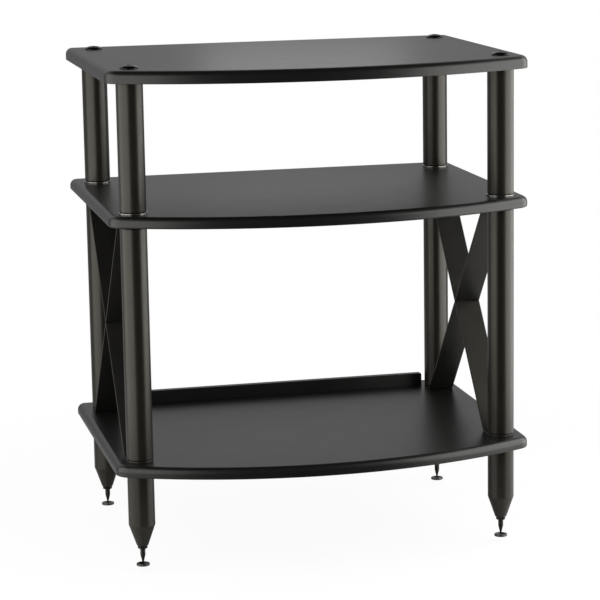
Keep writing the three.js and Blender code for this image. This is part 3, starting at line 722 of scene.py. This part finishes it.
def add_braces():
    """Two crossed strips on each side of the rack."""
    front_y, back_y = AXES["front_left"][1], AXES["back_left"][1]
    for side, sign in (("left", -1), ("right", 1)):
        for way, ends, slot_side in (("rear_high", (front_y, back_y), sign), ("front_high", (back_y, front_y), -sign)):
            name = f"{side}_brace_{way}"
            low, high = node_box(name)
            surface = strip(*ends, low[2] + STRIP_THICKNESS / 2, high[2] - STRIP_THICKNESS / 2, slot_side)
            surface = moved(surface, (AXES[f"front_{side}"][0], 0, 0))
            add_piece(f"{name}_strip", surface, name, "rack", STRIP_COAT, STRIP_EDGE_RADIUS)


def add_rail():
    """Upright board with round upper corners and softened edges, and the screws that hold it from below."""
    low, high = node_box("rear_rail")
    thickness = high[1] - low[1]

    def outline(inset):
        """Front view of the rail drawn in by an inset."""
        x, top = high[0] - RAIL_CORNER_RADIUS, high[2] - RAIL_CORNER_RADIUS
        radius = RAIL_CORNER_RADIUS - inset
        return np.concatenate([
            [(low[0] + inset, low[2]), (high[0] - inset, low[2])],
            arc((x, top), radius, 0, TAU / 4, CORNER_STEPS),
            arc((-x, top), radius, TAU / 4, TAU / 2, CORNER_STEPS),
        ])

    edge = edge_rise(RAIL_EDGE_RADIUS, FILLET_STEPS, thickness, False)
    edge += edge_rise(RAIL_EDGE_RADIUS, FILLET_STEPS, thickness, True)
    points, faces = slab([(outline(inset), depth) for inset, depth in edge])
    upright = np.stack([points[:, 0], high[1] - points[:, 2], points[:, 1]], 1)
    add_piece("rear_rail_board", (upright, faces), "rear_rail", "rack", LACQUER)
    for place in SCREWS:
        name = f"rail_screw_{place}"
        low, high = node_box(name)
        surface = moved(wood_screw(high[2] - low[2]), (*axis_of(name), low[2]))
        add_piece(f"{name}_shape", surface, name, "rack", ZINC)


for shelf in LOWER_EDGE_RADII:
    add_shelf(shelf)
add_columns()
add_braces()
add_rail()


# Studio

CAMERA_PLACE = (-0.8229, -3.6085, 1.0639)
CAMERA_YAW = 12.88
CAMERA_PITCH = 10.7426
CAMERA_ROLL = -0.9404
CAMERA_LENS = 144.54
SENSOR_WIDTH = 36


def add_camera():
    """Camera at the photograph's angle: it stands in front of the rack, to the left, and looks slightly down."""
    yaw, pitch, roll = (math.radians(a) for a in (CAMERA_YAW, CAMERA_PITCH, CAMERA_ROLL))
    forward = Vector((math.sin(yaw) * math.cos(pitch), math.cos(yaw) * math.cos(pitch), -math.sin(pitch)))
    right = Vector((math.cos(yaw), -math.sin(yaw), 0))
    up = right.cross(forward)
    across = right * math.cos(roll) + up * math.sin(roll)
    upward = up * math.cos(roll) - right * math.sin(roll)
    data = bpy.data.cameras.new("camera")
    data.sensor_width, data.lens = SENSOR_WIDTH, CAMERA_LENS
    data.clip_end = 50
    camera = bpy.data.objects.new("camera", data)
    turn = Matrix((across, upward, -forward)).transposed().to_4x4()
    camera.matrix_world = Matrix.Translation(CAMERA_PLACE) @ turn
    bpy.context.scene.collection.objects.link(camera)
    bpy.context.scene.camera = camera


def softbox(name, azimuth, distance, height, width, tall, radiance, colour):
    """Upright area lamp round the object, turned to its middle. Azimuth 0 is in front and 90 to the right."""
    data = bpy.data.lights.new(name, "AREA")
    data.shape, data.size, data.size_y = "RECTANGLE", width, tall
    data.energy = radiance * math.pi * width * tall
    data.color = linear(colour)[:3]
    lamp = bpy.data.objects.new(name, data)
    angle = math.radians(azimuth)
    place = Vector((distance * math.sin(angle), -distance * math.cos(angle), height))
    aim = Vector((0, 0, height)) - place
    lamp.matrix_world = Matrix.Translation(place) @ aim.to_track_quat("-Z", "Y").to_matrix().to_4x4()
    lamp.visible_camera = False
    bpy.context.scene.collection.objects.link(lamp)


# Brightness of the studio as gloss sees it, and of the light that matt surfaces get from all sides
WALL_FOOT = 0.32
WALL_TOP = 0.65
FRONT_LEVEL = 0.07
CEILING = 0.04
AMBIENT = 0.45

# Where one brightness goes over into the next, by the direction's height and by how far it points to the back
WALL_RISE = (0.15, 0.4)
CEILING_RISE = (0.55, 0.85)
FRONT_TO_BACK = (-0.5, 0.5)

# The floor lies just under the lowest place that the discs can be let down to, so that they show at every pose
FLOOR_HEIGHT = -0.0085
FLOOR_RADIUS = 4.0
FLOOR_SHARE = 0.07
# Distances from the middle over which the camera's floor turns all white, and gloss stops seeing the paper
WHITE_RING = (0.5, 1.1)
FAR_RING = (1.0, 3.2)
# Depths between which the paper's colour goes from a near black front, painted shade for the dark front of the studio,
# to its pale back, and the tones of both
PAPER_SHADED_FRONT = (-0.75, 0.02)
PAPER_BACK = (-0.2, 0.6)
PAPER_ROUGHNESS = 0.1
PAPER_IOR = 1.8

# Place and size of the large lamps to the left and right, in metres
SIDE_LAMP = {"distance": 0.95, "height": 0.64, "width": 1.3, "tall": 1.24}


def add_floor():
    """Pale floor that the camera sees as white, with the object's shadow kept: part of what the camera gets is
    lit, and part shines by itself. Away from the object all of it shines, so that it meets the backdrop unseen.
    What gloss sees is a sheet of pale paper whose colour turns near black just in front of the rack, painted shade
    that stands for the dark front of the studio. Further off, gloss sees the floor glow, dim in front and brighter
    behind, a painted reflection of the studio round it."""
    loop = arc((0, 0), FLOOR_RADIUS, 0, TAU, COLUMNS)[:-1]
    mesh = bpy.data.meshes.new("floor")
    mesh.from_pydata([(x, y, FLOOR_HEIGHT) for x, y in loop], [], [range(len(loop))])
    floor = bpy.data.objects.new("floor", mesh)
    bpy.context.scene.collection.objects.link(floor)
    material, tree, place = new_material("pale_floor")
    distance = add_node(tree, "ShaderNodeVectorMath", {0: place}, "Value", operation="LENGTH")
    inputs = {"Value": distance, "From Min": WHITE_RING[0], "From Max": WHITE_RING[1]}
    away = add_node(tree, "ShaderNodeMapRange", inputs, interpolation_type="SMOOTHSTEP")
    lit = add_node(tree, "ShaderNodeBsdfDiffuse", {"Color": (FLOOR_SHARE,) * 3 + (1,)})
    glow = add_node(tree, "ShaderNodeEmission", {"Color": (1 - FLOOR_SHARE,) * 3 + (1,), "Strength": 1.0})
    white = add_node(tree, "ShaderNodeEmission", {"Color": (1, 1, 1, 1), "Strength": 1.0})
    both = add_node(tree, "ShaderNodeAddShader", {0: lit, 1: glow})
    seen = add_node(tree, "ShaderNodeMixShader", {0: away, 1: both, 2: white})
    depth = add_node(tree, "ShaderNodeSeparateXYZ", {0: place}, "Y")
    # Paper colour by depth: near black in front, painted shade for the dark front of the studio, pale behind
    inputs = {
        "Value": depth, "From Min": PAPER_SHADED_FRONT[0], "From Max": PAPER_BACK[0], "To Min": PAPER_SHADED_FRONT[1],
        "To Max": PAPER_BACK[1],
    }
    paper = add_node(tree, "ShaderNodeMapRange", inputs, interpolation_type="SMOOTHSTEP")
    inputs = {"Base Color": paper, "Roughness": PAPER_ROUGHNESS, "IOR": PAPER_IOR}
    sheet = add_node(tree, "ShaderNodeBsdfPrincipled", inputs)
    # Far off, gloss sees the floor glow, dim in front and brighter behind: a painted reflection of the studio
    inputs = {"Value": depth, "From Min": -1.0, "From Max": 1.0, "To Min": FRONT_LEVEL, "To Max": WALL_FOOT}
    far_painted_glow_level = add_node(tree, "ShaderNodeMapRange", inputs, interpolation_type="SMOOTHSTEP")
    far = add_node(tree, "ShaderNodeEmission", {"Color": (1, 1, 1, 1), "Strength": far_painted_glow_level})
    inputs = {"Value": distance, "From Min": FAR_RING[0], "From Max": FAR_RING[1]}
    rim = add_node(tree, "ShaderNodeMapRange", inputs, interpolation_type="SMOOTHSTEP")
    reflected = add_node(tree, "ShaderNodeMixShader", {0: rim, 1: sheet, 2: far})
    camera_ray = add_node(tree, "ShaderNodeLightPath", output="Is Camera Ray")
    whole = add_node(tree, "ShaderNodeMixShader", {0: camera_ray, 1: reflected, 2: seen})
    add_node(tree, "ShaderNodeOutputMaterial", {"Surface": whole})
    mesh.materials.append(material)


def add_world():
    """White backdrop that the camera sees. Gloss sees it too, as a pale wall behind the rack that is dimmer at
    its foot and fades towards the front and into a dark ceiling. Matt surfaces are lit by an even ambient."""
    world = bpy.data.worlds.new("studio")
    bpy.context.scene.world = world
    world.use_nodes = True
    tree = world.node_tree
    tree.nodes.clear()
    direction = add_node(tree, "ShaderNodeTexCoord", output="Generated")
    towards_back = add_node(tree, "ShaderNodeSeparateXYZ", {0: direction}, "Y")
    upwards = add_node(tree, "ShaderNodeSeparateXYZ", {0: direction}, "Z")
    inputs = {
        "Value": upwards, "From Min": WALL_RISE[0], "From Max": WALL_RISE[1], "To Min": WALL_FOOT, "To Max": WALL_TOP,
    }
    wall = add_node(tree, "ShaderNodeMapRange", inputs, interpolation_type="SMOOTHSTEP")
    inputs = {
        "Value": towards_back, "From Min": FRONT_TO_BACK[0], "From Max": FRONT_TO_BACK[1], "To Min": FRONT_LEVEL,
        "To Max": wall,
    }
    around = add_node(tree, "ShaderNodeMapRange", inputs, interpolation_type="SMOOTHSTEP")
    inputs = {
        "Value": upwards, "From Min": CEILING_RISE[0], "From Max": CEILING_RISE[1], "To Min": around,
        "To Max": CEILING,
    }
    level = add_node(tree, "ShaderNodeMapRange", inputs, interpolation_type="SMOOTHSTEP")
    white = add_node(tree, "ShaderNodeBackground", {"Color": (1, 1, 1, 1), "Strength": 1.0})
    gloss = add_node(tree, "ShaderNodeBackground", {"Color": (1, 1, 1, 1), "Strength": level})
    ambient = add_node(tree, "ShaderNodeBackground", {"Color": (1, 1, 1, 1), "Strength": AMBIENT})
    glossy_ray = add_node(tree, "ShaderNodeLightPath", output="Is Glossy Ray")
    transmission_ray = add_node(tree, "ShaderNodeLightPath", output="Is Transmission Ray")
    camera_ray = add_node(tree, "ShaderNodeLightPath", output="Is Camera Ray")
    either = add_node(tree, "ShaderNodeMath", {0: glossy_ray, 1: transmission_ray}, operation="MAXIMUM")
    matt = add_node(tree, "ShaderNodeMixShader", {0: either, 1: ambient, 2: gloss})
    seen = add_node(tree, "ShaderNodeMixShader", {0: camera_ray, 1: matt, 2: white})
    add_node(tree, "ShaderNodeOutputWorld", {"Surface": seen})


add_camera()
add_world()
add_floor()
softbox("left_softbox", azimuth=-70, radiance=2.15, colour="#fffdf8", **SIDE_LAMP)
softbox("right_softbox", azimuth=70, radiance=3.25, colour="#fffefa", **SIDE_LAMP)
# Small card high behind the rack, straight ahead of the camera: its blurred reflection lightens the shelf tops
softbox("back_card", azimuth=166, radiance=0.67, colour="#ffffff", distance=1.03, height=1.2, width=0.4, tall=0.5)
bpy.context.scene.view_settings.view_transform = "Standard"
